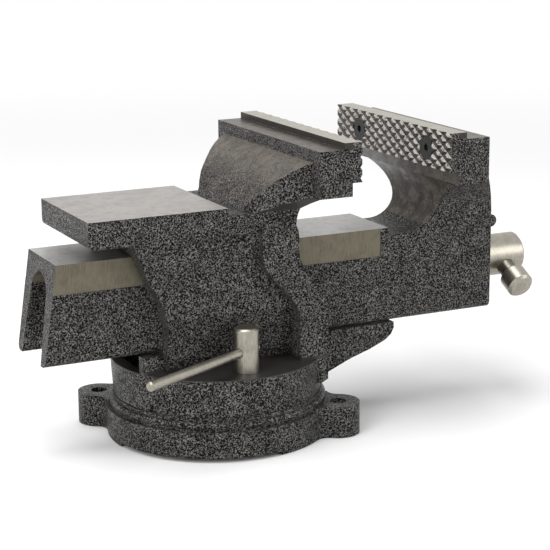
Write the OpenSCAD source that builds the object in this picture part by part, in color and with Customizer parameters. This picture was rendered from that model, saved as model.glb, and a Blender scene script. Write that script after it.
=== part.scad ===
// Bench vise with a swivel base, a box slide and an anvil.
// Origin: the swivel axis at the underside of the base. +X runs along the slide towards the handle, +Z is up.
// Sizes are in millimetres.

/* [Jaws] */
// Width of both jaws
jaw_w = 125; // [118:1:140]
// Opening between the jaw plates as drawn
jaw_gap = 52.5; // [40:0.5:60]
// Distance from the swivel axis to the face of the fixed plate
fixed_face_x = 55.5; // [54:0.5:60]
// Height of the jaw ledges above the top of the slide
jaw_rise = 53; // [52:0.5:60]
// Height of a jaw head, from underside to ledge
head_h = 24.5; // [20:0.5:27]
// Depth of a jaw head behind its plate
head_t = 18.8; // [16:0.2:22]
// Height of the strip above the ledge
strip_h = 3.5; // [2:0.5:6]
// Depth of the strip behind its plate
strip_t = 4.6; // [3:0.2:8]

/* [Jaw plates] */
// Height of a jaw plate
plate_h = 21; // [18:0.5:24]
// Thickness of a jaw plate
plate_t = 5.5; // [4.5:0.5:8]
// Distance of each plate screw from the middle of the jaw
plate_screw_y = 37; // [30:1:45]
// Depth of the plate screws below the top of the plate
plate_screw_drop = 11; // [9:0.5:12]
// Diameter of the plate screws
plate_screw_d = 6; // [5:0.5:8]
// Diameter of the countersunk screw heads
plate_head_d = 13; // [11:0.5:14]
// Length of the plate screws in the jaw
plate_screw_l = 14; // [10:1:16]
// Distance between neighbouring grooves of the diamond pattern
hatch_pitch = 4.8; // [4:0.2:7]
// Depth of the grooves of the diamond pattern
hatch_depth = 1; // [0.5:0.1:1.4]
// Angle of the grooves from the horizontal
hatch_angle = 30; // [25:1:45]

/* [Slide] */
// Width of the slide
slide_w = 44; // [42:1:50]
// Height of the slide
slide_h = 53; // [50:1:58]
// Distance from the swivel axis to the top of the slide's rear end
slide_back = 96.6; // [90:0.2:110]
// How much further back the bottom of the slide's rear end lies
slide_back_slant = 8; // [4:1:12]
// Distance from the throat of the moving jaw to the front of the slide
slide_nose = 37; // [34:1:44]
// Gap between the slide and its channel
slide_gap = 0.4; // [0.3:0.1:0.8]
// Half width of the hollow at its arch
hollow_r = 12; // [11.8:0.1:12.6]
// How much wider the hollow is at the bottom, on each side
hollow_draft = 3; // [1:0.5:4]
// Thickness of the front wall that holds the screw
front_wall = 12; // [9:1:16]
// Radius of the throat below the moving jaw
throat_r = 17.5; // [16:0.5:18]
// Depth of the step behind the machined top
relief = 3.7; // [2:0.1:4.5]
// Height of the machined band on the slide's sides
band_h = 15.5; // [10:0.5:20]
// Depth of the machined band
band_depth = 0.3; // [0.2:0.1:0.5]
// Radius of the round bead across the front
bead_r = 3.5; // [2.5:0.5:5]

/* [Body] */
// Thickness of the channel walls
channel_wall = 5; // [4:0.5:7]
// Thickness of the bridge over the slide
bridge = 8.4; // [7:0.2:12]
// Distance from the swivel axis to the back of the channel walls
wall_back = 40.5; // [36:0.5:46]
// Distance from the swivel axis to the front of the body
wall_front = 31; // [29:0.5:31.5]
// Height of the channel floor above the foot's ledge
floor_rise = 9.1; // [7:0.1:12]
// Diameter of the foot at its ledge
foot_d = 115.2; // [113:0.2:118]
// Height of the foot
foot_h = 20; // [18:0.5:26]
// Diameter of the hollow under the foot
foot_hollow_d = 64; // [60:1:66]
// Reach of the tongue under the slide, from the swivel axis
tongue_reach = 99.5; // [85:0.5:110]
// Width of the tongue
tongue_w = 40; // [34:1:43]

/* [Anvil] */
// Distance from the swivel axis to the back of the anvil
anvil_back = 84; // [76:1:92]
// Distance from the swivel axis to the front of the anvil's machined top
anvil_front = 8; // [4:1:12]
// Width of the anvil
anvil_w = 71.8; // [70:0.2:80]
// Thickness of the anvil
anvil_t = 14.3; // [12:0.1:18]
// Depth of the step in front of the anvil's machined top
anvil_step = 3.9; // [2:0.1:6]

/* [Base] */
// Diameter of the base
base_d = 121; // [120:1:130]
// Height of the base
base_h = 23; // [22:0.5:28]
// Height of the base's outer wall, with its pads
rim_h = 16; // [14:0.5:17]
// Height of the pads under the base
pad_h = 2; // [1:0.5:3]
// Diameter of the circle through the bolt holes
lug_pcd = 133.4; // [130:0.2:142]
// Diameter of the bolt holes
lug_hole_d = 9; // [7:0.5:11]
// Radius of the lugs
lug_r = 11.7; // [10.5:0.1:13]
// Height of the lugs
lug_h = 17.4; // [15:0.2:20]
// Direction of the lugs, measured from the slide
lug_angle = 36; // [25:1:50]
// Radius of the hollow corners where the lugs meet the base
lug_fillet = 6; // [3:0.5:8]

/* [Lead screw and handle] */
// Depth of the screw's axis below the top of the slide
screw_drop = 28.5; // [27.5:0.5:31]
// Outer diameter of the screw thread
screw_d = 16; // [14:1:17]
// Pitch of the screw thread
screw_pitch = 4; // [3:0.5:5]
// Length of the threaded part
thread_l = 200; // [170:1:215]
// Diameter of the screw head
screw_head_d = 24; // [22:1:28]
// Length of the screw head
screw_head_l = 28.3; // [24:0.1:34]
// Diameter of the handle bar
handle_d = 10; // [8:0.5:12]
// Length of the handle over its end caps
handle_l = 125; // [110:1:150]
// Diameter of the handle's end caps
cap_d = 15.5; // [14:0.5:20]
// Length of an end cap
cap_l = 12; // [10:0.5:16]
// Length of bar that shows between the screw head and the near cap
handle_show = 6.4; // [2:0.2:12]
// Distance of the handle behind the end of the screw head
handle_inset = 12.6; // [10:0.2:14]
// Angle of the handle below the horizontal
handle_tilt = 27; // [15:0.5:50]
// Thickness of the two screw washers
washer_t = 2.4; // [1.5:0.1:3]
// Outer diameter of the retaining collar
collar_d = 22; // [20:0.5:23]
// Length of the retaining collar
collar_l = 10; // [8:0.5:14]
// Diameter of the pin through the collar
pin_d = 4; // [3:0.5:5]

/* [Nut] */
// Length of the nut along the screw
nut_l = 35; // [28:1:40]
// Width of the nut
nut_w = 21; // [20:0.5:22]
// Distance from the swivel axis to the middle of the nut
nut_x = 7.5; // [4:0.5:10]
// Diameter of the bolt that holds the nut
nut_bolt_d = 10; // [8:1:12]

/* [Swivel locks] */
// Distance of a lock screw from the slide's centre line
lock_y = 43; // [42:0.5:44]
// Distance of the lock screws behind the swivel axis
lock_x = 2; // [0:0.5:6]
// Diameter of the lock screw heads
lock_head_d = 13; // [11:0.5:14]
// Height of the lock screw heads
lock_head_h = 23.8; // [20:0.2:26]
// Diameter of the lock screw shanks
lock_d = 8; // [7:0.5:9]
// Diameter of the lock bars
lock_bar_d = 5; // [4:0.2:6]
// Reach of a lock bar's long end from its screw
lock_bar_reach = 77; // [60:1:85]
// Reach of a lock bar's short end from its screw
lock_bar_stub = 9; // [9:0.5:10]
// Direction of the lock bars, measured from the slide
lock_bar_angle = 207; // [200:1:215]
// Height of the nuts in the base's groove
clamp_nut_h = 7.6; // [6:0.2:8]

/* [Hidden] */
$fn = 64;

// Fits, radial or from face to face
fit = 0.05;
seat = 0.1;
eps = 0.5;

// Heights, from the bench up
ledge_z = base_h + foot_h;
floor_z = ledge_z + floor_rise;
slide_z = floor_z + slide_gap;
slide_top = slide_z + slide_h;
bridge_z = slide_top + slide_gap;
anvil_z = bridge_z + bridge;
anvil_top = anvil_z + anvil_t;
head_top = slide_top + jaw_rise;
head_z = head_top - head_h;
jaw_top = head_top + strip_h;
plate_z = jaw_top - plate_h;
screw_z = slide_top - screw_drop;

// Places along the slide
fixed_seat_x = fixed_face_x - plate_t;
fixed_rear_x = fixed_seat_x - head_t;
moving_face_x = fixed_face_x + jaw_gap;
moving_seat_x = moving_face_x + plate_t;
moving_rear_x = moving_seat_x + head_t;
throat_x = moving_seat_x - 7;
slide_front = throat_x + throat_r + slide_nose;
relief_x = throat_x - 12;

// Half widths
slide_y = slide_w / 2;
channel_y = slide_y + slide_gap;
wall_y = channel_y + channel_wall;
foot_r = foot_d / 2;
base_r = base_d / 2;

// Reach of tools that cut right through
far = 400;

function smooth(t) = t * t * (3 - 2 * t);
function arc(cx, cy, r, from, to, steps) =
    [for (i = [0:steps]) let (a = from + (to - from) * i / steps) [cx + r * cos(a), cy + r * sin(a)]];

// Draws a side view [x, z], as deep in y as given
module side_view(half_y) {
    rotate([90, 0, 0]) linear_extrude(2 * half_y, center = true) children();
}

// Draws an end view [y, z] from one x to another
module end_view(from_x, to_x) {
    translate([from_x, 0, 0]) rotate([90, 0, 90]) linear_extrude(to_x - from_x) children();
}

// Copies what it is given to both sides of the slide
module both_sides() {
    children();
    mirror([0, 1, 0]) children();
}

module cylinder_x(d, from_x, to_x) {
    translate([from_x, 0, 0]) rotate([0, 90, 0]) cylinder(d = d, h = to_x - from_x);
}

// ---- Swivel base ----

lock_r = norm([lock_x, lock_y]);
slot_w = lock_d + 1.2;
nut_radial = 15;
chamber_w = nut_radial + 1;
chamber_top = base_h - 8;
chamber_h = clamp_nut_h + 0.4;
chamber_floor = chamber_top - chamber_h;
hub_h = 6;
hub_r = foot_hollow_d / 2 - 0.1;
lug_x = lug_pcd / 2;
pad_span = 44;
bead_ring_r = 2;

module ring_cut(radius, width, z, h) {
    translate([0, 0, z]) difference() {
        cylinder(r = radius + width / 2, h = h);
        translate([0, 0, -eps]) cylinder(r = radius - width / 2, h = h + 2 * eps);
    }
}

module lug() {
    fillet_y = lug_r + lug_fillet;
    fillet_x = sqrt(pow(base_r + lug_fillet, 2) - pow(fillet_y, 2));
    fillet_turn = atan2(fillet_y, fillet_x);
    root = arc(fillet_x, fillet_y, lug_fillet, 180 + fillet_turn, 268, 6);
    side = concat([[base_r - 8, fillet_y]], root, [[lug_x - 1, lug_r - 0.3]]);
    other = [for (i = [len(side) - 1:-1:0]) [side[i][0], -side[i][1]]];
    linear_extrude(lug_h) {
        translate([lug_x, 0]) circle(r = lug_r);
        polygon(concat(side, other));
    }
}

module pad() {
    intersection() {
        difference() {
            cylinder(r = base_r - 0.3, h = pad_h + eps);
            translate([0, 0, -eps]) cylinder(r = base_r - 9, h = pad_h + 3 * eps);
        }
        linear_extrude(far) polygon([[0, 0], far * [cos(pad_span), -sin(pad_span)], [far, 0],
            far * [cos(pad_span), sin(pad_span)]]);
    }
}

module swivel_base() {
    color("dimgray") difference() {
        union() {
            translate([0, 0, pad_h]) cylinder(r = base_r, h = rim_h - pad_h);
            translate([0, 0, pad_h]) cylinder(r = base_r - 2.2, h = base_h - 4 - pad_h);
            translate([0, 0, pad_h]) cylinder(r = foot_r - 0.6, h = base_h - pad_h);
            translate([0, 0, base_h - 4]) rotate_extrude()
                translate([base_r - 3.3, 0]) circle(r = bead_ring_r);
            cylinder(r = hub_r, h = base_h + hub_h);
            for (side = [0, 180]) rotate([0, 0, side - lug_angle]) {
                lug();
                pad();
            }
        }
        // Casting core under the hub
        translate([0, 0, -eps]) cylinder(r = hub_r - 8, h = base_h - 3);
        translate([0, 0, -eps]) cylinder(d = foot_hollow_d + eps, h = pad_h + eps);
        // T-groove that the clamp nuts run in, and the hole that lets them in
        ring_cut(lock_r, slot_w, chamber_floor + eps, far);
        ring_cut(lock_r, chamber_w, chamber_floor, chamber_h);
        rotate([0, 0, 90 - lug_angle]) translate([lock_r, 0, -eps])
            cylinder(d = chamber_w + 1, h = chamber_floor + 2 * eps);
        for (side = [0, 180]) rotate([0, 0, side - lug_angle]) translate([lug_x, 0, -eps])
            cylinder(d = lug_hole_d, h = far);
    }
}

// ---- Body ----

cavity_top = ledge_z - 3;
pocket_z = cavity_top - 10;
pocket_l = 10;
block_l = 12.5;
block_w = 6;
block_in = 2.4;
shelf_z = anvil_top - anvil_step;
neck_base = anvil_z + 2;
neck_back_r = 55;
neck_back_x = fixed_rear_x + 21.6;
neck_back_z = head_top - 57;
neck_fillet = min(18, fixed_seat_x - wall_front - 1, head_z - anvil_z - 1.7);
throat_fillet_x = wall_front + neck_fillet;
throat_fillet_z = head_z - neck_fillet;

// Rear edge of the walls: [distance behind their foot, drop below the anvil]
wall_rear = [[19.5, 0], [10.5, 21.3], [3.5, 33.8], [0, 47.3]];

// Outer face of the walls: [height above the ledge, share of the full thickening]
wall_flank = [[0, 0], [7, 0.24], [17, 0.4], [29, 0.85], [47, 0.85], [67, 1]];
wall_out = anvil_w / 2 - 1.9;

// Plan of the neck's side: [distance behind the head's rear, distance inside the head's end]
neck_fan = [
    [40, 40], [26.8, 32.5], [25, 29.1], [21.8, 24.5], [18.6, 21.7],
    [15, 18.5], [11.4, 15.1], [7.6, 12.3], [3.2, 9.9], [-1.6, 8.1]
];
neck_reach = jaw_w / 2 - 8.1;

function mirrored(side) = [for (i = [len(side) - 1:-1:0]) [-side[i][0], side[i][1]]];
function swapped(side) = [for (p = side) [p[1], p[0]]];

// Side view of the two channel walls and the bridge over the slide
module wall_outline() {
    polygon(concat(
        [[-wall_back, ledge_z - eps], [wall_front, ledge_z - eps], [wall_front, anvil_z + eps],
         [-wall_back - wall_rear[0][0], anvil_z + eps]],
        [for (p = wall_rear) [-wall_back - p[0], anvil_z - p[1]]]
    ));
}

// End view of the same walls, which thicken towards the anvil
module wall_section() {
    side = [for (p = wall_flank) [wall_y + (wall_out - wall_y) * p[1], ledge_z + p[0]]];
    low = [[wall_y, ledge_z - eps]];
    high = [[wall_out, anvil_z + eps]];
    outline = concat(low, side, high);
    polygon(concat(outline, mirrored(outline)));
}

// Side view of the neck that carries the fixed jaw
module neck_outline() {
    back_low = asin((neck_base - neck_back_z) / neck_back_r);
    back_high = acos((neck_back_x - fixed_rear_x) / neck_back_r);
    inside_x = fixed_rear_x + 6;
    polygon(concat(
        [[wall_front, neck_base]],
        arc(throat_fillet_x, throat_fillet_z, neck_fillet, 180, 90, 8),
        [[throat_fillet_x, head_z + eps], [inside_x, head_z + eps], [inside_x, head_top - 5]],
        arc(neck_back_x, neck_back_z, neck_back_r, 180 - back_high, 180 - back_low, 10)
    ));
}

// Plan of the neck, which fans out to the head
module neck_plan() {
    side = [for (p = neck_fan) [jaw_w / 2 - p[1], fixed_rear_x - p[0]]];
    outline = concat(side, [[neck_reach, fixed_seat_x]]);
    polygon(swapped(concat(outline, mirrored(outline))));
}

// End view of the neck, whose underside slopes up from the anvil's side to the head
module neck_section() {
    outline = [
        [anvil_w / 2, neck_base - eps], [anvil_w / 2, shelf_z],
        [neck_reach, head_z], [neck_reach + 1, head_top]
    ];
    polygon(concat(outline, mirrored(outline)));
}

module jaw_head(seat_x, rear_x) {
    low_x = min(seat_x, rear_x);
    toward_rear = rear_x > seat_x ? 1 : -1;
    translate([low_x, -jaw_w / 2, head_z]) cube([abs(rear_x - seat_x), jaw_w, head_h]);
    translate([toward_rear > 0 ? seat_x : seat_x - strip_t, -jaw_w / 2, head_top - eps])
        cube([strip_t, jaw_w, strip_h + eps]);
}

// Rib on each side of the channel, from a dome at the top down to the foot
rib_low_x = 31;
rib_low_w = 16.6;
rib_back_shift = 21;
rib_front_shift = 16.6;
rib_high_y = anvil_w / 2 + 3.3;
rib_low_y = anvil_w / 2 + 4.1;
rib_r = (rib_low_w + rib_back_shift - rib_front_shift) / 2;
rib_top_z = anvil_z - 3;

// Where the rib's edges swing over: [drop below the anvil, height of the swing]
rib_back_bend = [13.3, 34];
rib_front_bend = [12, 34];
rib_reach_bend = [17.3, 23];

function swing(z, bend) = smooth(max(0, min(1, (anvil_z - bend[0] - z) / bend[1])));
function rib_back(z) = rib_low_x - rib_back_shift * (1 - swing(z, rib_back_bend));
function rib_front(z) = rib_low_x + rib_low_w - rib_front_shift * (1 - swing(z, rib_front_bend));
function rib_reach(z) = rib_high_y + (rib_low_y - rib_high_y) * swing(z, rib_reach_bend);

module rib() {
    steps = 12;
    low_z = base_h + 8;
    bevel = 4;
    curve_h = rib_top_z - ledge_z - 18;
    heights = [for (i = [0:steps]) rib_top_z - curve_h * i / steps];
    dome = arc(wall_out, rib_top_z, 1, 85, 0, 6);
    intersection() {
        side_view(far / 2) polygon(concat(
            arc(rib_low_x - rib_back_shift + rib_r, rib_top_z, rib_r, 0, 180, 12),
            [for (z = heights) [rib_back(z), z]],
            [[rib_low_x, low_z], [rib_low_x + bevel, low_z - 2], [rib_low_x + rib_low_w - bevel, low_z - 2],
             [rib_low_x + rib_low_w, low_z]],
            [for (i = [steps:-1:0]) [rib_front(heights[i]), heights[i]]]
        ));
        end_view(-far / 2, far / 2) polygon(concat(
            [[channel_y + 1, rib_top_z + rib_r + 1], [wall_out, rib_top_z + rib_r + 1]],
            [for (p = dome) [wall_out + (rib_high_y - wall_out) * (p[0] - wall_out),
                rib_top_z + rib_r * (p[1] - rib_top_z)]],
            [for (z = heights) [rib_reach(z), z]],
            [[rib_low_y, low_z - 3], [channel_y + 1, low_z - 3]]
        ));
    }
}

// Side view of the tongue, from the foot out under the slide
module tongue_outline() {
    top = floor_z - 1;
    polygon([
        [wall_front - 4, top], [tongue_reach, top], [tongue_reach, top - 3.2],
        [tongue_reach - 1.8, top - 6.8], [tongue_reach - 5.6, top - 9.8], [tongue_reach - 15.1, top - 13.7],
        [tongue_reach - 27.8, top - 17.7], [tongue_reach - 40.3, top - 22.9],
        [foot_r - 6, base_h + 2], [wall_front - 4, base_h + 2]
    ]);
}

module foot() {
    translate([0, 0, base_h + seat]) cylinder(r1 = foot_r - 1.2, r2 = foot_r, h = foot_h - seat);
}

module anvil() {
    round_r = 3;
    shelf_turn = 180 - asin((shelf_z - throat_fillet_z) / neck_fillet);
    side_view(anvil_w / 2) polygon(concat(
        arc(-anvil_back + round_r, anvil_z + round_r, round_r, 180, 270, 4),
        [[wall_front, anvil_z]],
        arc(throat_fillet_x, throat_fillet_z, neck_fillet, 180, shelf_turn, 3),
        [[-anvil_front, shelf_z], [-anvil_front, anvil_top], [-anvil_back, anvil_top]]
    ));
}

module plate_screw_holes(from_x, to_x) {
    for (side = [-1, 1]) translate([0, side * plate_screw_y, jaw_top - plate_screw_drop])
        cylinder_x(plate_screw_d + 2 * fit, from_x, to_x);
}

module fixed_body() {
    color("dimgray") difference() {
        union() {
            foot();
            difference() {
                intersection() {
                    side_view(far / 2) wall_outline();
                    end_view(-far / 2, far / 2) wall_section();
                }
                translate([-far / 2, -channel_y, floor_z]) cube([far, 2 * channel_y, bridge_z - floor_z]);
            }
            anvil();
            intersection() {
                side_view(far / 2) neck_outline();
                end_view(-far / 2, far / 2) neck_section();
                linear_extrude(far) neck_plan();
            }
            jaw_head(fixed_seat_x, fixed_rear_x);
            both_sides() rib();
            side_view(tongue_w / 2) tongue_outline();
            both_sides() translate([-wall_back - block_l, channel_y - block_in, ledge_z - eps])
                cube([block_l + 1, block_w, floor_rise + eps]);
        }
        // Hollow under the foot, for the base's hub and the nut bolt's head
        translate([0, 0, -eps]) cylinder(d = foot_hollow_d, h = cavity_top + eps);
        // Pocket between the rear blocks
        translate([-wall_back - pocket_l, block_in - channel_y, pocket_z])
            cube([pocket_l + 3, 2 * (channel_y - block_in), floor_z + eps - pocket_z]);
        translate([nut_x, 0, 0]) cylinder(d = nut_bolt_d + 2 * fit, h = floor_z + eps);
        both_sides() translate([-lock_x, -lock_y, 0]) cylinder(d = lock_d + 0.6, h = ledge_z + eps);
        plate_screw_holes(fixed_seat_x - plate_screw_l - 1, fixed_seat_x + eps);
        // Notch in the foot's lower edge
        rotate([0, 0, 210]) translate([foot_r - 3, -1.9, base_h - eps]) cube([6, 3.8, 4 + eps]);
    }
}

// ---- Jaw plates ----

// Plate with its back on the plane x = 0 and its pattern facing +X
module plate() {
    reach_y = jaw_w * sin(hatch_angle) + plate_h * cos(hatch_angle);
    grooves = floor(reach_y / hatch_pitch / 2);
    groove_half = hatch_depth * 1.5;
    middle_z = jaw_top - plate_h / 2;
    difference() {
        translate([0, -jaw_w / 2, plate_z]) cube([plate_t, jaw_w, plate_h]);
        for (tilt = [hatch_angle, -hatch_angle], i = [-grooves:grooves])
            translate([plate_t, 0, middle_z]) rotate([tilt, 0, 0])
                translate([0, 0, i * hatch_pitch]) rotate([90, 0, 0])
                    linear_extrude(2 * jaw_w, center = true)
                        polygon([[-hatch_depth, 0], [0.1, groove_half], [0.1, -groove_half]]);
        for (side = [-1, 1]) translate([0, side * plate_screw_y, jaw_top - plate_screw_drop]) {
            cylinder_x(plate_screw_d + 2 * fit, -eps, plate_t + eps);
            countersink(2 * seat);
        }
    }
}

// Countersink whose wide end lies flush with the plate's face
module countersink(extra) {
    deep = (plate_head_d - plate_screw_d) / 2;
    rim_x = plate_t - hatch_depth;
    translate([rim_x - deep, 0, 0]) rotate([0, 90, 0])
        cylinder(d1 = plate_screw_d + extra, d2 = plate_head_d + extra, h = deep);
    cylinder_x(plate_head_d + extra, rim_x - 0.01, extra > 0 ? plate_t + eps : plate_t - 0.4 * hatch_depth);
}

module plate_screws() {
    socket_d = plate_screw_d * 0.75;
    for (side = [-1, 1]) translate([0, side * plate_screw_y, jaw_top - plate_screw_drop])
        difference() {
            union() {
                cylinder_x(plate_screw_d, -plate_screw_l, plate_t - hatch_depth);
                countersink(0);
            }
            translate([plate_t - hatch_depth - 2.5, 0, 0]) rotate([0, 90, 0])
                cylinder(d = socket_d, h = far, $fn = 6);
        }
}

module fixed_jaw_plate() {
    color("gray") translate([fixed_seat_x, 0, 0]) plate();
}

module fixed_jaw_screws() {
    color("slategray") translate([fixed_seat_x, 0, 0]) plate_screws();
}

module movable_jaw_plate() {
    color("gray") translate([moving_seat_x, 0, 0]) mirror([1, 0, 0]) plate();
}

module movable_jaw_screws() {
    color("slategray") translate([moving_seat_x, 0, 0]) mirror([1, 0, 0]) plate_screws();
}

// ---- Moving jaw with its slide ----

throat_z = slide_top - relief + throat_r;
neck_root = 10;
neck_bury = 7;
neck_low = slide_top - neck_root;
neck_rise = head_z + neck_bury;
// Curvature of the moving jaw's neck, at its sides and at its front
neck_start = slide_top + 0.5;
side_curve = 0.0311;
front_curve = 0.0235;

function fan_y(z) = slide_y + side_curve * pow(max(0, z - neck_start), 2);
function lean_x(z) = slide_front - front_curve * pow(max(0, z - neck_start), 2);

module slide_section() {
    corner = 4;
    polygon(concat(
        arc(-slide_y + corner, slide_z + corner, corner, 180, 270, 5),
        arc(slide_y - corner, slide_z + corner, corner, 270, 360, 5),
        [[slide_y, slide_top], [-slide_y, slide_top]]
    ));
}

module slide_hollow() {
    arch_rise = 9;
    arch_z = screw_z + arch_rise;
    polygon(concat(
        [[hollow_r + hollow_draft, slide_z - eps]],
        arc(0, arch_z, hollow_r, 0, 180, 16),
        [[-hollow_r - hollow_draft, slide_z - eps]]
    ));
}

module moving_neck() {
    steps = 12;
    heights = [for (i = [0:steps]) neck_start + (neck_rise - neck_start) * i / steps];
    throat_end = asin((head_z - throat_z) / throat_r);
    head_meet_x = throat_x + throat_r * cos(throat_end);
    intersection() {
        side_view(far / 2) polygon(concat(
            [[throat_x, neck_low]],
            arc(throat_x, throat_z, throat_r, -90, throat_end, 16),
            [[head_meet_x, neck_rise]],
            [for (i = [steps:-1:0]) [lean_x(heights[i]), heights[i]]],
            [[slide_front, neck_low]]
        ));
        end_view(throat_x - eps, slide_front + eps) polygon(concat(
            [[-slide_y, neck_low]],
            [for (z = heights) [-fan_y(z), z]],
            [for (i = [steps:-1:0]) [fan_y(heights[i]), heights[i]]],
            [[slide_y, neck_low]]
        ));
    }
}

module movable_jaw() {
    color("dimgray") difference() {
        union() {
            difference() {
                intersection() {
                    side_view(slide_y + eps) polygon([
                        [-slide_back - slide_back_slant, slide_z], [slide_front, slide_z],
                        [slide_front, slide_top], [-slide_back, slide_top]
                    ]);
                    end_view(-far, far) slide_section();
                }
                // Step down from the machined top to the throat
                translate([relief_x, -slide_w, slide_top - relief]) cube([far, 2 * slide_w, far]);
                // Machined bands on the sides
                both_sides() translate([relief_x - 5 - far, slide_y - band_depth, slide_top - band_h])
                    cube([far, eps, far]);
            }
            moving_neck();
            jaw_head(moving_seat_x, moving_rear_x);
            translate([slide_front, 0, slide_top - relief + 1]) rotate([90, 0, 0])
                cylinder(r = bead_r, h = slide_w, center = true);
        }
        end_view(-far, slide_front - front_wall) slide_hollow();
        translate([0, 0, screw_z]) cylinder_x(screw_d + 2 * fit, slide_front - front_wall - eps, far);
        plate_screw_holes(moving_seat_x - eps, moving_seat_x + plate_screw_l + 1);
    }
}

// ---- Lead screw ----

wall_inner_x = slide_front - front_wall;
washer_x = slide_front + seat;
head_x = washer_x + washer_t + seat;
handle_x = head_x + screw_head_l - handle_inset;
inner_washer_x = wall_inner_x - seat - washer_t;
collar_x = inner_washer_x - seat - collar_l;
thread_end_x = collar_x - 6 - thread_l;
washer_d = screw_head_d - 2;

// Turns what it is given, drawn along +Z, to the handle's direction
module along_handle() {
    translate([handle_x, 0, screw_z]) rotate([90 + handle_tilt, 0, 0]) children();
}

// Half section of the screw, with the thread drawn as rings one pitch apart
module screw_section() {
    root_r = screw_d / 2 - 2;
    crest_r = screw_d / 2;
    turns = floor(thread_l / screw_pitch);
    quarter = screw_pitch / 4;
    thread = [for (i = [0:turns - 1], p = [
        [root_r, 0], [crest_r, quarter], [crest_r, 2 * quarter], [root_r, 3 * quarter]
    ]) [p[0], thread_end_x + i * screw_pitch + p[1]]];
    last_x = thread_end_x + turns * screw_pitch;
    polygon(concat(
        [[0, thread_end_x - 6], [root_r - 1, thread_end_x - 6], [root_r, thread_end_x - 5]],
        thread,
        [[root_r, last_x], [crest_r, last_x + 1], [crest_r, head_x],
         [screw_head_d / 2 - 1, head_x], [screw_head_d / 2, head_x + 1],
         [screw_head_d / 2, head_x + screw_head_l - 1.5],
         [screw_head_d / 2 - 1.5, head_x + screw_head_l], [0, head_x + screw_head_l]]
    ));
}

module lead_screw() {
    color("silver") difference() {
        translate([0, 0, screw_z]) rotate([0, 90, 0]) rotate_extrude() screw_section();
        along_handle() cylinder(d = handle_d + 2 * fit, h = 2 * screw_head_d, center = true);
        translate([collar_x + collar_l / 2, 0, screw_z])
            cylinder(d = pin_d + 2 * fit, h = 2 * screw_d, center = true);
    }
}

module screw_washer(x) {
    translate([x, 0, screw_z]) difference() {
        cylinder_x(washer_d, 0, washer_t);
        cylinder_x(screw_d + 2 * fit, -eps, washer_t + eps);
    }
}

module thrust_washer() {
    color("darkslategray") screw_washer(washer_x);
}

module inner_washer() {
    color("darkslategray") screw_washer(inner_washer_x);
}

module retaining_collar() {
    color("silver") translate([collar_x, 0, screw_z]) difference() {
        cylinder_x(collar_d, 0, collar_l);
        cylinder_x(screw_d + 2 * fit, -eps, collar_l + eps);
        translate([collar_l / 2, 0, 0]) cylinder(d = pin_d + 2 * fit, h = 2 * collar_d, center = true);
    }
}

module collar_pin() {
    color("silver") translate([collar_x + collar_l / 2, 0, screw_z])
        cylinder(d = pin_d, h = collar_d - 1.2, center = true);
}

// ---- Handle ----

cap_near = screw_head_d / 2 + seat + handle_show;
cap_grip = cap_l - 3;

module handle_bar() {
    color("silver") along_handle()
        translate([0, 0, cap_near + cap_grip - (handle_l - 2 * (cap_l - cap_grip))])
            cylinder(d = handle_d, h = handle_l - 2 * (cap_l - cap_grip));
}

// End cap with its open end at z = 0 and its closed end at +Z
module handle_cap() {
    difference() {
        rotate_extrude() polygon([
            [0, 0], [cap_d / 2 - 1.5, 0], [cap_d / 2, 1.5],
            [cap_d / 2, cap_l - 1.5], [cap_d / 2 - 1.5, cap_l], [0, cap_l]
        ]);
        translate([0, 0, -eps]) cylinder(d = handle_d + 2 * fit, h = cap_grip + eps);
    }
}

module handle_cap_near() {
    color("silver") along_handle() translate([0, 0, cap_near]) handle_cap();
}

module handle_cap_far() {
    color("silver") along_handle() translate([0, 0, cap_near + 2 * cap_l - handle_l])
        mirror([0, 0, 1]) handle_cap();
}

// ---- Nut ----

nut_bolt_head_h = 6.4;
nut_bolt_washer_t = 2;
nut_bolt_reach = 12;

module screw_nut() {
    top_r = nut_w / 2;
    color("dimgray") difference() {
        end_view(nut_x - nut_l / 2, nut_x + nut_l / 2) {
            translate([-nut_w / 2, floor_z]) square([nut_w, screw_z - floor_z]);
            translate([0, screw_z]) circle(r = top_r);
        }
        translate([0, 0, screw_z]) cylinder_x(screw_d + 2 * fit, nut_x - nut_l, nut_x + nut_l);
        translate([nut_x, 0, floor_z - eps]) cylinder(d = nut_bolt_d + 2 * fit, h = nut_bolt_reach + eps + 1);
    }
}

module nut_bolt() {
    head_top_z = cavity_top - nut_bolt_washer_t;
    color("silver") translate([nut_x, 0, 0]) {
        translate([0, 0, head_top_z - nut_bolt_head_h])
            cylinder(d = nut_bolt_d * 1.8, h = nut_bolt_head_h, $fn = 6);
        translate([0, 0, head_top_z - eps])
            cylinder(d = nut_bolt_d, h = floor_z + nut_bolt_reach - head_top_z + eps);
    }
}

module nut_bolt_washer() {
    color("silver") translate([nut_x, 0, cavity_top - nut_bolt_washer_t]) difference() {
        cylinder(d = nut_bolt_d * 2, h = nut_bolt_washer_t);
        translate([0, 0, -eps]) cylinder(d = nut_bolt_d + 2 * fit, h = nut_bolt_washer_t + 2 * eps);
    }
}

// ---- Swivel locks ----

lock_bar_z = ledge_z + 11;

module lock_bar_place() {
    translate([-lock_x, -lock_y, lock_bar_z]) rotate([0, 0, lock_bar_angle]) rotate([0, 90, 0]) children();
}

module lock_screw() {
    chamfer = 1;
    color("silver") difference() {
        translate([-lock_x, -lock_y, 0]) rotate_extrude() polygon([
            [0, chamber_floor + seat], [lock_d / 2, chamber_floor + seat],
            [lock_d / 2, ledge_z + seat], [lock_head_d / 2, ledge_z + seat],
            [lock_head_d / 2, ledge_z + lock_head_h - chamfer],
            [lock_head_d / 2 - chamfer, ledge_z + lock_head_h], [0, ledge_z + lock_head_h]
        ]);
        lock_bar_place() cylinder(d = lock_bar_d + 2 * fit, h = 2 * lock_head_d, center = true);
    }
}

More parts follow.
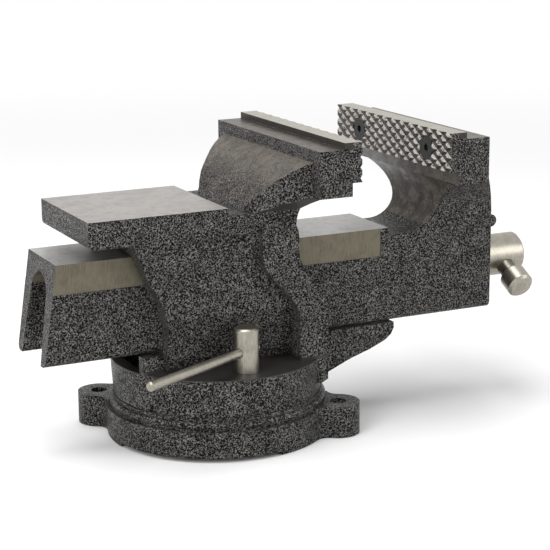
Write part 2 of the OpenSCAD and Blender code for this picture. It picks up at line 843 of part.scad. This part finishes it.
module lock_bar() {
    tip = 0.8;
    bar_r = lock_bar_d / 2;
    color("silver") lock_bar_place() rotate_extrude() polygon([
        [0, -lock_bar_stub], [bar_r - tip, -lock_bar_stub], [bar_r, -lock_bar_stub + tip],
        [bar_r, lock_bar_reach - tip], [bar_r - tip, lock_bar_reach], [0, lock_bar_reach]
    ]);
}

// Nut with straight sides and the groove's own curves at front and back
module clamp_nut() {
    nut_along = 16;
    color("gray") difference() {
        intersection() {
            ring_cut(lock_r, nut_radial, chamber_top - clamp_nut_h - seat, clamp_nut_h);
            rotate([0, 0, atan2(-lock_y, -lock_x)]) translate([lock_r - nut_radial, -nut_along / 2, 0])
                cube([2 * nut_radial, nut_along, far]);
        }
        translate([-lock_x, -lock_y, 0]) cylinder(d = lock_d + 2 * fit, h = far);
    }
}

module lock_screw_near() lock_screw();

module lock_screw_far() mirror([0, 1, 0]) lock_screw();

module lock_bar_near() lock_bar();

module lock_bar_far() mirror([0, 1, 0]) lock_bar();

module clamp_nut_near() clamp_nut();

module clamp_nut_far() mirror([0, 1, 0]) clamp_nut();

swivel_base();
fixed_body();
fixed_jaw_plate();
fixed_jaw_screws();
movable_jaw();
movable_jaw_plate();
movable_jaw_screws();
lead_screw();
thrust_washer();
inner_washer();
retaining_collar();
collar_pin();
handle_bar();
handle_cap_near();
handle_cap_far();
screw_nut();
nut_bolt();
nut_bolt_washer();
lock_screw_near();
lock_screw_far();
lock_bar_near();
lock_bar_far();
clamp_nut_near();
clamp_nut_far();
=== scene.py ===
"""Looks of the bench vise: enamelled castings, machined faces, plated steel, floor, light and camera."""

import math

import bpy
from mathutils import Matrix, Vector

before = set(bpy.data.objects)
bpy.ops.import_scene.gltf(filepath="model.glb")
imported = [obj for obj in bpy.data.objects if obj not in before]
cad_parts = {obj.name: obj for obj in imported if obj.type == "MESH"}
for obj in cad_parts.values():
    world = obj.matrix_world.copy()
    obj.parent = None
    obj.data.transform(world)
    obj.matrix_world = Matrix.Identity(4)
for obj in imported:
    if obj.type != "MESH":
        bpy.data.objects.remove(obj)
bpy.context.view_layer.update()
MM = 0.001

# Heights and places of the machined faces in millimetres, as in the construction
FOOT_LEDGE_Z = 43.0
FOOT_FRONT_X = 48.0
BAND_LOW_Z = 90.0
BAND_FRONT_X = 89.5
SLIDE_TOP_Z = 105.5
SLIDE_TOP_FRONT_X = 94.5
THROAT_X = 106.5
NECK_LOW_Z = 124.7
ANVIL_TOP_Z = 128.6
ANVIL_FRONT_X = -8.0
HEAD_LOW_Z = 134.0
HEAD_LEDGE_Z = 158.5
FIXED_HEAD_X = 31.2
FIXED_STRIP_X = 45.4
MOVING_STRIP_X = 118.1

# Where one finish fades into the next, in millimetres: an edge and how soft it is, or a start and an end
NECK_BROWN_Z = (126.0, 150.0)
NECK_GROUND_Z = (142.0, 168.0)
THROAT_RUST_BELOW_Z = (133.0, 9.0)
THROAT_RUST_BELOW_Y = (22.0, 14.0)
# Where the painted highlight lies on the throat: high up and on the far side.
THROAT_HIGHLIGHT_ABOVE_Z = (127.0, 7.0)
THROAT_HIGHLIGHT_ABOVE_Y = (2.0, 24.0)

# How wide the rounded edges are, in millimetres, and how sharp an edge has to be for it
BASE_EDGE = 0.9
CASTING_EDGE = 1.7
PLATE_EDGE = 0.1
DARK_STEEL_EDGE = 0.2
BRIGHT_STEEL_EDGE = 0.3
IRON_EDGE = 0.4
EDGE_ANGLE_DEG = 32


# ---- Node graphs ----


class Graph:
    """Builds one material out of short calls. A value is a number, a colour or another node's output."""

    def __init__(self, name):
        self.material = bpy.data.materials.new(name)
        self.material.use_nodes = True
        self.tree = self.material.node_tree
        self.shader = self.tree.nodes["Principled BSDF"]
        coordinates = self.tree.nodes.new("ShaderNodeTexCoord")
        self.place = coordinates.outputs["Object"]
        self.x, self.y, self.z = self.split(self.place)
        self.nx, self.ny, self.nz = self.split(coordinates.outputs["Normal"])

    def put(self, socket, value):
        if isinstance(value, bpy.types.NodeSocket):
            self.tree.links.new(value, socket)
        else:
            socket.default_value = value

    def split(self, vector):
        node = self.tree.nodes.new("ShaderNodeSeparateXYZ")
        self.put(node.inputs[0], vector)
        return node.outputs[0], node.outputs[1], node.outputs[2]

    def calc(self, operation, a, b=0.0):
        node = self.tree.nodes.new("ShaderNodeMath")
        node.operation = operation
        self.put(node.inputs[0], a)
        self.put(node.inputs[1], b)
        return node.outputs[0]

    def times(self, a, b):
        return self.calc("MULTIPLY", a, b)

    def size(self, value):
        return self.calc("ABSOLUTE", value)

    def without(self, mask):
        return self.calc("SUBTRACT", 1.0, mask)

    def along(self, direction, stretch):
        """Coordinates in which patterns run long along the direction, 20 times longer for a stretch of 0.05."""
        length = Vector(direction).normalized()
        across = length.orthogonal().normalized()
        third = length.cross(across)
        node = self.tree.nodes.new("ShaderNodeCombineXYZ")
        for socket, axis in zip(node.inputs, (length * stretch, across, third)):
            dot = self.tree.nodes.new("ShaderNodeVectorMath")
            dot.operation = "DOT_PRODUCT"
            self.put(dot.inputs[0], self.place)
            dot.inputs[1].default_value = axis
            self.put(socket, dot.outputs["Value"])
        return node.outputs[0]

    def noise(self, vector, size_mm, detail=2.0, roughness=0.5, distortion=0.0):
        """Cloudy pattern from 0 to 1 whose lumps are about size_mm across."""
        node = self.tree.nodes.new("ShaderNodeTexNoise")
        self.put(node.inputs["Vector"], vector)
        node.inputs["Scale"].default_value = 1 / (size_mm * MM)
        node.inputs["Detail"].default_value = detail
        node.inputs["Roughness"].default_value = roughness
        node.inputs["Distortion"].default_value = distortion
        return node.outputs["Fac"]

    def rise(self, value, low, high):
        """0 below low, 1 above high, smooth between."""
        node = self.tree.nodes.new("ShaderNodeMapRange")
        node.interpolation_type = "SMOOTHSTEP"
        self.put(node.inputs["Value"], value)
        node.inputs["From Min"].default_value = low
        node.inputs["From Max"].default_value = high
        return node.outputs["Result"]

    def fade(self, value, low_mm, high_mm):
        return self.rise(value, low_mm * MM, high_mm * MM)

    def over(self, value, edge_mm, soft_mm=0.15):
        return self.fade(value, edge_mm - soft_mm, edge_mm + soft_mm)

    def under(self, value, edge_mm, soft_mm=0.15):
        return self.without(self.over(value, edge_mm, soft_mm))

    def at_level(self, value, level_mm, reach_mm=0.5):
        return self.both(self.over(value, level_mm - reach_mm), self.under(value, level_mm + reach_mm))

    def both(self, *masks):
        result = masks[0]
        for mask in masks[1:]:
            result = self.times(result, mask)
        return result

    def colours(self, share, a, b):
        node = self.tree.nodes.new("ShaderNodeMix")
        node.data_type = "RGBA"
        self.put(node.inputs["Factor"], share)
        self.put(node.inputs[6], a)
        self.put(node.inputs[7], b)
        return node.outputs[2]

    def numbers(self, share, a, b):
        node = self.tree.nodes.new("ShaderNodeMix")
        self.put(node.inputs["Factor"], share)
        self.put(node.inputs[2], a)
        self.put(node.inputs[3], b)
        return node.outputs[0]

    def bump(self, height_mm):
        node = self.tree.nodes.new("ShaderNodeBump")
        node.inputs["Strength"].default_value = 1.0
        node.inputs["Distance"].default_value = MM
        self.put(node.inputs["Height"], height_mm)
        return node.outputs[0]

    def build(self, surface):
        """Connects a surface to the shader and returns the material."""
        colour, roughness, metallic, specular, height_mm = surface
        self.put(self.shader.inputs["Base Color"], colour)
        self.put(self.shader.inputs["Roughness"], roughness)
        self.put(self.shader.inputs["Metallic"], metallic)
        self.put(self.shader.inputs["Specular IOR Level"], specular)
        self.put(self.shader.inputs["Normal"], self.bump(height_mm))
        return self.material


def grey(level, warmth=0.0):
    """A linear grey. Warmth lifts red and lowers blue by that share."""
    return (level * (1 + warmth), level, level * (1 - warmth), 1.0)


def scaled(colour, factor):
    return tuple(min(1.0, factor * part) for part in colour[:3]) + (1.0,)


# ---- Surfaces: each returns (colour, roughness, metallic, specular level, height in millimetres) ----


def hammered_enamel(g, pit=0.004, dim=0.128, bright=0.198, warmth=0.04, low=0.48, high=0.61):
    """Enamel with crisp light veins that stand a little proud of the dark pits between them."""
    fine = g.noise(g.place, 0.78, distortion=0.9)
    grain = g.noise(g.place, 0.4, detail=1.0)
    broad = g.noise(g.place, 11.0)
    relief = g.numbers(0.2, fine, grain)
    relief_mm = 0.36
    veins = g.rise(relief, low, high)
    light = g.colours(g.rise(broad, 0.25, 0.75), grey(dim, warmth), grey(bright, warmth))
    colour = g.colours(veins, grey(pit, warmth), light)
    roughness = g.numbers(veins, 0.4, 0.25)
    specular = g.numbers(veins, 0.05, 0.3)
    return colour, roughness, 0.0, specular, g.times(relief, relief_mm)


def machined(g, tint, direction, stretch=0.05, roughness=0.36, depth_mm=0.02, metallic=0.85, contrast=0.3):
    """Bare metal with fine tool marks along the direction, and stains."""
    marks = g.noise(g.along(direction, stretch), 0.5, detail=3.0, roughness=0.6)
    stain = g.noise(g.place, 6.0, detail=4.0, roughness=0.62, distortion=0.5)
    colour = g.colours(g.rise(stain, 0.32, 0.66), scaled(tint, 1 - contrast), tint)
    colour = g.colours(g.rise(marks, 0.42, 0.68), colour, scaled(tint, 1 + 0.5 * contrast))
    uneven = g.numbers(marks, roughness - 0.08, roughness + 0.14)
    return colour, uneven, metallic, 0.4, g.times(marks, depth_mm)


def layered(g, ground, *layers):
    """Lays surfaces over the ground, each through its own mask."""
    result = list(ground)
    for mask, surface in layers:
        result[0] = g.colours(mask, result[0], surface[0])
        for i in range(1, len(result)):
            result[i] = g.numbers(mask, result[i], surface[i])
    return result


ACROSS = (0.0, 1.0, 0.0)
UPRIGHT = (0.0, 0.0, 1.0)
BAND_MARKS = (0.1, 0.0, 1.0)
ANVIL_MARKS = (1.0, 0.3, 0.0)
THROAT_MARKS = (1.0, 0.0, 1.0)
NECK_MARKS = (0.45, 0.65, 0.6)
UNDERSIDE_MARKS = (0.6, 0.7, 0.4)

STRIP_TOP = (0.36, 0.34, 0.285, 1.0)
ANVIL_TOP = grey(0.325, 0.06)
SLIDE_TOP = grey(0.4, 0.02)
OLIVE_BAND = (0.135, 0.12, 0.086, 1.0)
BROWN_GREY = (0.115, 0.097, 0.08, 1.0)
THROAT_BROWN = (0.105, 0.088, 0.07, 1.0)
THROAT_RUST = (0.03, 0.022, 0.014, 1.0)
THROAT_PAINTED_HIGHLIGHT = grey(0.26, 0.02)
DARK_BROWN = (0.03, 0.027, 0.023, 1.0)
# Darker than the hammered enamel: a smooth finish with painted shade for the faces under the head.
SMOOTH_SHADED_ENAMEL = grey(0.035, 0.06)
LEDGE_BLACK = grey(0.032, 0.08)
PLATE_DARK = (0.085, 0.074, 0.066, 1.0)
# Bright steel for the groove walls: wear, and a painted highlight where they face the light.
PLATE_WORN_AND_HIGHLIT = grey(0.4, 0.06)
PLATED_STEEL = (0.34026, 0.318, 0.2703, 1.0)
# Darker than the plated steel: tarnish, with painted shade for the handle bar.
TARNISHED_AND_SHADED_STEEL = (0.1819, 0.17, 0.1445, 1.0)
# Near black: blackened steel, made darker still as painted shade for the screws sunk in the jaw plates.
BLACKENED_AND_SHADED_STEEL = grey(0.014, 0.05)
GREASED_IRON = grey(0.09, 0.06)


def strip_top(g):
    return machined(g, STRIP_TOP, ACROSS, roughness=0.34, contrast=0.2)


def ledge_and_strip(g, strip_x, toward_rear):
    """Layers of a jaw head's machined top: its ledge, the dark groove at the strip's foot, the strip."""
    upward = g.rise(g.nz, 0.6, 0.9)
    groove = g.at_level(g.x, strip_x + 0.5 * toward_rear, 0.7)
    ledge = g.both(g.at_level(g.z, HEAD_LEDGE_Z), upward)
    strip = g.over(g.z, HEAD_LEDGE_Z + 0.3)
    dark = machined(g, DARK_BROWN, ACROSS, roughness=0.45, metallic=0.4)
    return (
        (ledge, machined(g, BROWN_GREY, ACROSS, stretch=0.04, depth_mm=0.03, contrast=0.75)),
        (g.both(ledge, groove), dark),
        (strip, dark),
        (g.both(strip, upward), strip_top(g)),
    )


# ---- Materials ----


def base_paint():
    g = Graph("base_paint")
    return g.build(hammered_enamel(g))


def neck_layers(g):
    """Smooth enamel under the head, darker than the hammered enamel as painted shade on its downward faces, and
    brown enamel on the neck's back with ground metal higher up.
    """
    downward = g.rise(g.times(g.nz, -1.0), 0.15, 0.4)
    # Downward faces between the neck and the head: painted shade, laid on as darker smooth enamel.
    underside_shade = g.both(g.over(g.z, NECK_LOW_Z), g.under(g.z, HEAD_LOW_Z - 0.3), downward)
    backward = g.rise(g.times(g.nx, -1.0), 0.2, 0.5)
    lengthwise = g.without(g.rise(g.size(g.ny), 0.25, 0.5))
    neck = g.both(
        g.over(g.z, ANVIL_TOP_Z - 3.0, 1.0), g.under(g.x, FIXED_HEAD_X - 0.3), backward, lengthwise,
    )
    waver_m = 0.02
    waver = g.times(g.noise(g.place, 5.0, detail=4.0, roughness=0.62), waver_m)
    height = g.calc("ADD", g.z, waver)
    smooth = machined(
        g, SMOOTH_SHADED_ENAMEL, UNDERSIDE_MARKS,
        stretch=0.1, roughness=0.38, depth_mm=0.03, metallic=0.1, contrast=0.5,
    )
    brown = hammered_enamel(g, pit=0.008, dim=0.05, bright=0.15, warmth=0.15, low=0.44, high=0.64)
    ground = machined(
        g, BROWN_GREY, NECK_MARKS,
        stretch=0.12, roughness=0.46, depth_mm=0.1, metallic=0.4, contrast=0.85,
    )
    return (
        (underside_shade, smooth),
        (g.both(neck, g.fade(height, *NECK_BROWN_Z)), brown),
        (g.both(neck, g.fade(height, *NECK_GROUND_Z)), ground),
    )


def body_paint():
    g = Graph("body_paint")
    anvil = g.both(
        g.at_level(g.z, ANVIL_TOP_Z), g.under(g.x, ANVIL_FRONT_X, 0.5), g.rise(g.nz, 0.6, 0.9),
    )
    foot_ledge = g.both(
        g.over(g.z, FOOT_LEDGE_Z - 0.5), g.under(g.z, FOOT_LEDGE_Z + 1.6), g.under(g.x, FOOT_FRONT_X),
    )
    foot_surface = machined(g, LEDGE_BLACK, ACROSS, stretch=0.6, roughness=0.4, depth_mm=0.01, metallic=0.3)
    return g.build(layered(
        g, hammered_enamel(g),
        *neck_layers(g),
        (foot_ledge, foot_surface),
        *ledge_and_strip(g, FIXED_STRIP_X, -1.0),
        (anvil, machined(g, ANVIL_TOP, ANVIL_MARKS, stretch=0.2, contrast=0.32)),
    ))


def throat_layers(g):
    """The throat's ground curve: brown, with a painted highlight high up on the far side, and rusty low down.
    """
    backward = g.rise(g.times(g.nx, -1.0), 0.05, 0.3)
    throat = g.both(g.over(g.z, SLIDE_TOP_Z), g.over(g.x, THROAT_X), backward)
    # pale: a painted highlight, high up on the far side of the throat.
    pale = g.both(throat, g.over(g.z, *THROAT_HIGHLIGHT_ABOVE_Z), g.over(g.y, *THROAT_HIGHLIGHT_ABOVE_Y))
    blots = g.rise(g.noise(g.place, 9.0, detail=4.0, roughness=0.6, distortion=0.6), 0.4, 0.55)
    rust = g.both(throat, blots, g.under(g.z, *THROAT_RUST_BELOW_Z), g.under(g.y, *THROAT_RUST_BELOW_Y))
    brown_surface = machined(
        g, THROAT_BROWN, THROAT_MARKS,
        stretch=0.3, roughness=0.5, depth_mm=0.1, metallic=0.2, contrast=0.95,
    )
    painted_highlight_surface = machined(
        g, THROAT_PAINTED_HIGHLIGHT, THROAT_MARKS,
        stretch=0.3, roughness=0.4, depth_mm=0.05, metallic=0.5, contrast=0.5,
    )
    rust_surface = machined(
        g, THROAT_RUST, THROAT_MARKS,
        stretch=0.4, roughness=0.55, depth_mm=0.1, metallic=0.1, contrast=0.8,
    )
    return (
        (g.times(throat, 0.85), brown_surface),
        (g.times(pale, 0.8), painted_highlight_surface),
        (g.times(rust, 0.85), rust_surface),
    )


def jaw_paint():
    g = Graph("jaw_paint")
    upward = g.rise(g.nz, 0.6, 0.9)
    sideways = g.rise(g.size(g.ny), 0.5, 0.8)
    top = g.both(g.at_level(g.z, SLIDE_TOP_Z), g.under(g.x, SLIDE_TOP_FRONT_X), upward)
    band = g.both(g.over(g.z, BAND_LOW_Z), g.under(g.x, BAND_FRONT_X), sideways)
    band_surface = machined(
        g, OLIVE_BAND, BAND_MARKS,
        stretch=0.06, roughness=0.42, depth_mm=0.03, metallic=0.6, contrast=0.25,
    )
    return g.build(layered(
        g, hammered_enamel(g),
        *throat_layers(g),
        (band, band_surface),
        *ledge_and_strip(g, MOVING_STRIP_X, 1.0),
        (top, machined(g, SLIDE_TOP, ACROSS, stretch=0.06, contrast=0.25)),
    ))


def plate_steel():
    """Dark hardened steel with a machined top and painted ends. One wall of each falling groove, the one facing
    up and toward the near side, is bright: bare steel from wear with a painted highlight.
    """
    g = Graph("plate_steel")
    soot = g.noise(g.place, 1.4, detail=3.0, roughness=0.6)
    # Walls facing up and toward the near side: wear with a painted highlight.
    lit_wall = g.both(g.rise(g.nz, 0.25, 0.42), g.rise(g.times(g.ny, -1.0), 0.08, 0.22))
    dark = machined(
        g, PLATE_DARK, ACROSS,
        stretch=1.0, roughness=0.42, depth_mm=0.03, metallic=0.6, contrast=0.6,
    )
    worn_and_highlit = machined(g, PLATE_WORN_AND_HIGHLIT, ACROSS, stretch=1.0, roughness=0.3, depth_mm=0.01, metallic=0.9)
    return g.build(layered(
        g, dark,
        (g.both(lit_wall, g.rise(soot, 0.32, 0.5)), worn_and_highlit),
        (g.rise(g.size(g.ny), 0.75, 0.95), hammered_enamel(g)),
        (g.rise(g.nz, 0.7, 0.9), strip_top(g)),
    ))


def turned_steel(name, tint):
    g = Graph(name)
    return g.build(machined(
        g, tint, UPRIGHT,
        stretch=0.12, roughness=0.34, depth_mm=0.015, metallic=1.0, contrast=0.25,
    ))


def dark_steel():
    g = Graph("dark_steel")
    return g.build(machined(
        g, BLACKENED_AND_SHADED_STEEL, ACROSS,
        stretch=1.0, roughness=0.5, depth_mm=0.03, metallic=0.1,
    ))


def raw_iron():
    g = Graph("raw_iron")
    return g.build(machined(
        g, GREASED_IRON, ACROSS,
        stretch=1.0, roughness=0.55, depth_mm=0.08, metallic=0.6,
    ))


# ---- Edges ----


def soften(node, width_mm, segments):
    """Rounds a node's sharp edges, as casting and handling do."""
    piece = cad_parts[node]
    weld = piece.modifiers.new("weld", "WELD")
    weld.merge_threshold = 0.002 * MM
    bevel = piece.modifiers.new("edges", "BEVEL")
    bevel.width = width_mm * MM
    bevel.segments = segments
    bevel.limit_method = "ANGLE"
    bevel.angle_limit = math.radians(EDGE_ANGLE_DEG)
    bevel.use_clamp_overlap = True
    bevel.miter_outer = "MITER_ARC"
    normals = piece.modifiers.new("normals", "WEIGHTED_NORMAL")
    normals.keep_sharp = True


def dress(nodes, material, width_mm, segments=2):
    for node in nodes:
        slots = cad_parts[node].data.materials
        slots.clear()
        slots.append(material)
        soften(node, width_mm, segments)


# ---- Studio ----


def white_seen_directly(tree):
    """1 for the rays that show the background: straight from the camera, mirrored or refracted."""
    path = tree.nodes.new("ShaderNodeLightPath")
    total = path.outputs["Is Camera Ray"]
    for name in ("Is Glossy Ray", "Is Transmission Ray"):
        add = tree.nodes.new("ShaderNodeMath")
        add.operation = "ADD"
        add.use_clamp = True
        tree.links.new(total, add.inputs[0])
        tree.links.new(path.outputs[name], add.inputs[1])
        total = add.outputs[0]
    return total


def add_world(strength):
    """Lights the vise with the given strength, and is white where it is seen."""
    world = bpy.data.worlds.new("studio")
    bpy.context.scene.world = world
    world.use_nodes = True
    tree = world.node_tree
    background = tree.nodes["Background"]
    background.inputs["Color"].default_value = (1, 1, 1, 1)
    mix = tree.nodes.new("ShaderNodeMix")
    tree.links.new(white_seen_directly(tree), mix.inputs["Factor"])
    mix.inputs[2].default_value = strength
    mix.inputs[3].default_value = 1.0
    tree.links.new(mix.outputs[0], background.inputs["Strength"])


def add_floor(radius=3.0):
    """A pale floor that keeps the shadow round the vise and turns into pure white farther out."""
    place = (0, 0, -0.2 * MM)
    bpy.ops.mesh.primitive_circle_add(vertices=96, radius=radius, fill_type="NGON", location=place)
    floor = bpy.context.object
    floor.name = "floor"
    material = bpy.data.materials.new("floor")
    material.use_nodes = True
    tree = material.node_tree
    shader = tree.nodes["Principled BSDF"]
    shader.inputs["Base Color"].default_value = (0.9, 0.9, 0.9, 1)
    shader.inputs["Roughness"].default_value = 0.9
    shader.inputs["Specular IOR Level"].default_value = 0.0
    glow = tree.nodes.new("ShaderNodeEmission")
    glow.inputs["Color"].default_value = (1, 1, 1, 1)
    coordinates = tree.nodes.new("ShaderNodeTexCoord")
    length = tree.nodes.new("ShaderNodeVectorMath")
    length.operation = "LENGTH"
    tree.links.new(coordinates.outputs["Object"], length.inputs[0])
    fade = tree.nodes.new("ShaderNodeMapRange")
    fade.interpolation_type = "SMOOTHSTEP"
    fade.inputs["From Min"].default_value = 0.12 * radius
    fade.inputs["From Max"].default_value = 0.5 * radius
    tree.links.new(length.outputs["Value"], fade.inputs["Value"])
    share = tree.nodes.new("ShaderNodeMath")
    share.operation = "MULTIPLY"
    tree.links.new(fade.outputs["Result"], share.inputs[0])
    tree.links.new(white_seen_directly(tree), share.inputs[1])
    mix = tree.nodes.new("ShaderNodeMixShader")
    tree.links.new(share.outputs[0], mix.inputs[0])
    tree.links.new(shader.outputs[0], mix.inputs[1])
    tree.links.new(glow.outputs[0], mix.inputs[2])
    tree.links.new(mix.outputs[0], tree.nodes["Material Output"].inputs["Surface"])
    floor.data.materials.append(material)


def add_softbox(name, place, size, watts):
    """A lamp of the given size in metres that points at the middle of the vise."""
    middle = Vector((0.03, 0.0, 0.09))
    light = bpy.data.lights.new(name, "AREA")
    light.shape = "RECTANGLE"
    light.size, light.size_y = size
    light.energy = watts
    lamp = bpy.data.objects.new(name, light)
    bpy.context.scene.collection.objects.link(lamp)
    lamp.location = place
    lamp.rotation_euler = (middle - Vector(place)).to_track_quat("-Z", "Y").to_euler()


def add_studio():
    add_world(0.42)
    add_floor()
    add_softbox("top", (-0.3, 0.1, 1.6), (1.4, 1.4), 26)
    add_softbox("left", (-1.5, -1.0, 0.9), (0.9, 1.2), 15)
    add_softbox("right", (1.2, -1.3, 0.8), (0.8, 1.1), 10)


def add_camera():
    """The photograph's view: 26 degrees round to the left, 14 degrees up, a long lens."""
    azimuth, elevation, roll = math.radians(-26.016), math.radians(13.774), math.radians(-0.467)
    place = Vector((-0.36266, -0.81639, 0.30354))
    level = math.cos(elevation)
    back = Vector((math.sin(azimuth) * level, -math.cos(azimuth) * level, math.sin(elevation)))
    right = Vector(UPRIGHT).cross(back).normalized()
    up = back.cross(right)
    rolled_right = math.cos(roll) * right + math.sin(roll) * up
    rolled_up = math.cos(roll) * up - math.sin(roll) * right
    data = bpy.data.cameras.new("camera")
    data.sensor_width = 36.0
    data.lens = 111.88
    data.clip_start = 0.01
    camera = bpy.data.objects.new("camera", data)
    bpy.context.scene.collection.objects.link(camera)
    turn = Matrix((rolled_right, rolled_up, back)).transposed()
    camera.matrix_world = Matrix.Translation(place) @ turn.to_4x4()
    bpy.context.scene.camera = camera


# ---- The vise ----

add_camera()
add_studio()
dress(["swivel_base"], base_paint(), BASE_EDGE)
dress(["fixed_body"], body_paint(), CASTING_EDGE, segments=3)
dress(["movable_jaw"], jaw_paint(), CASTING_EDGE, segments=3)
dress(["fixed_jaw_plate", "movable_jaw_plate"], plate_steel(), PLATE_EDGE, segments=1)
# The plate screws' near black stands in partly for the shade in their recesses.
dress(
    ["fixed_jaw_screws", "movable_jaw_screws", "thrust_washer", "inner_washer"],
    dark_steel(), DARK_STEEL_EDGE,
)
dress(
    ["lead_screw", "retaining_collar", "collar_pin", "handle_cap_near", "handle_cap_far",
     "nut_bolt", "nut_bolt_washer", "lock_screw_near", "lock_screw_far", "lock_bar_near", "lock_bar_far"],
    turned_steel("bright_steel", PLATED_STEEL), BRIGHT_STEEL_EDGE,
)
# The handle bar's darker tint is tarnish and painted shade.
dress(["handle_bar"], turned_steel("tarnished_and_shaded_steel", TARNISHED_AND_SHADED_STEEL), BRIGHT_STEEL_EDGE)
dress(["screw_nut", "clamp_nut_near", "clamp_nut_far"], raw_iron(), IRON_EDGE)

bpy.context.scene.view_settings.view_transform = "Standard"
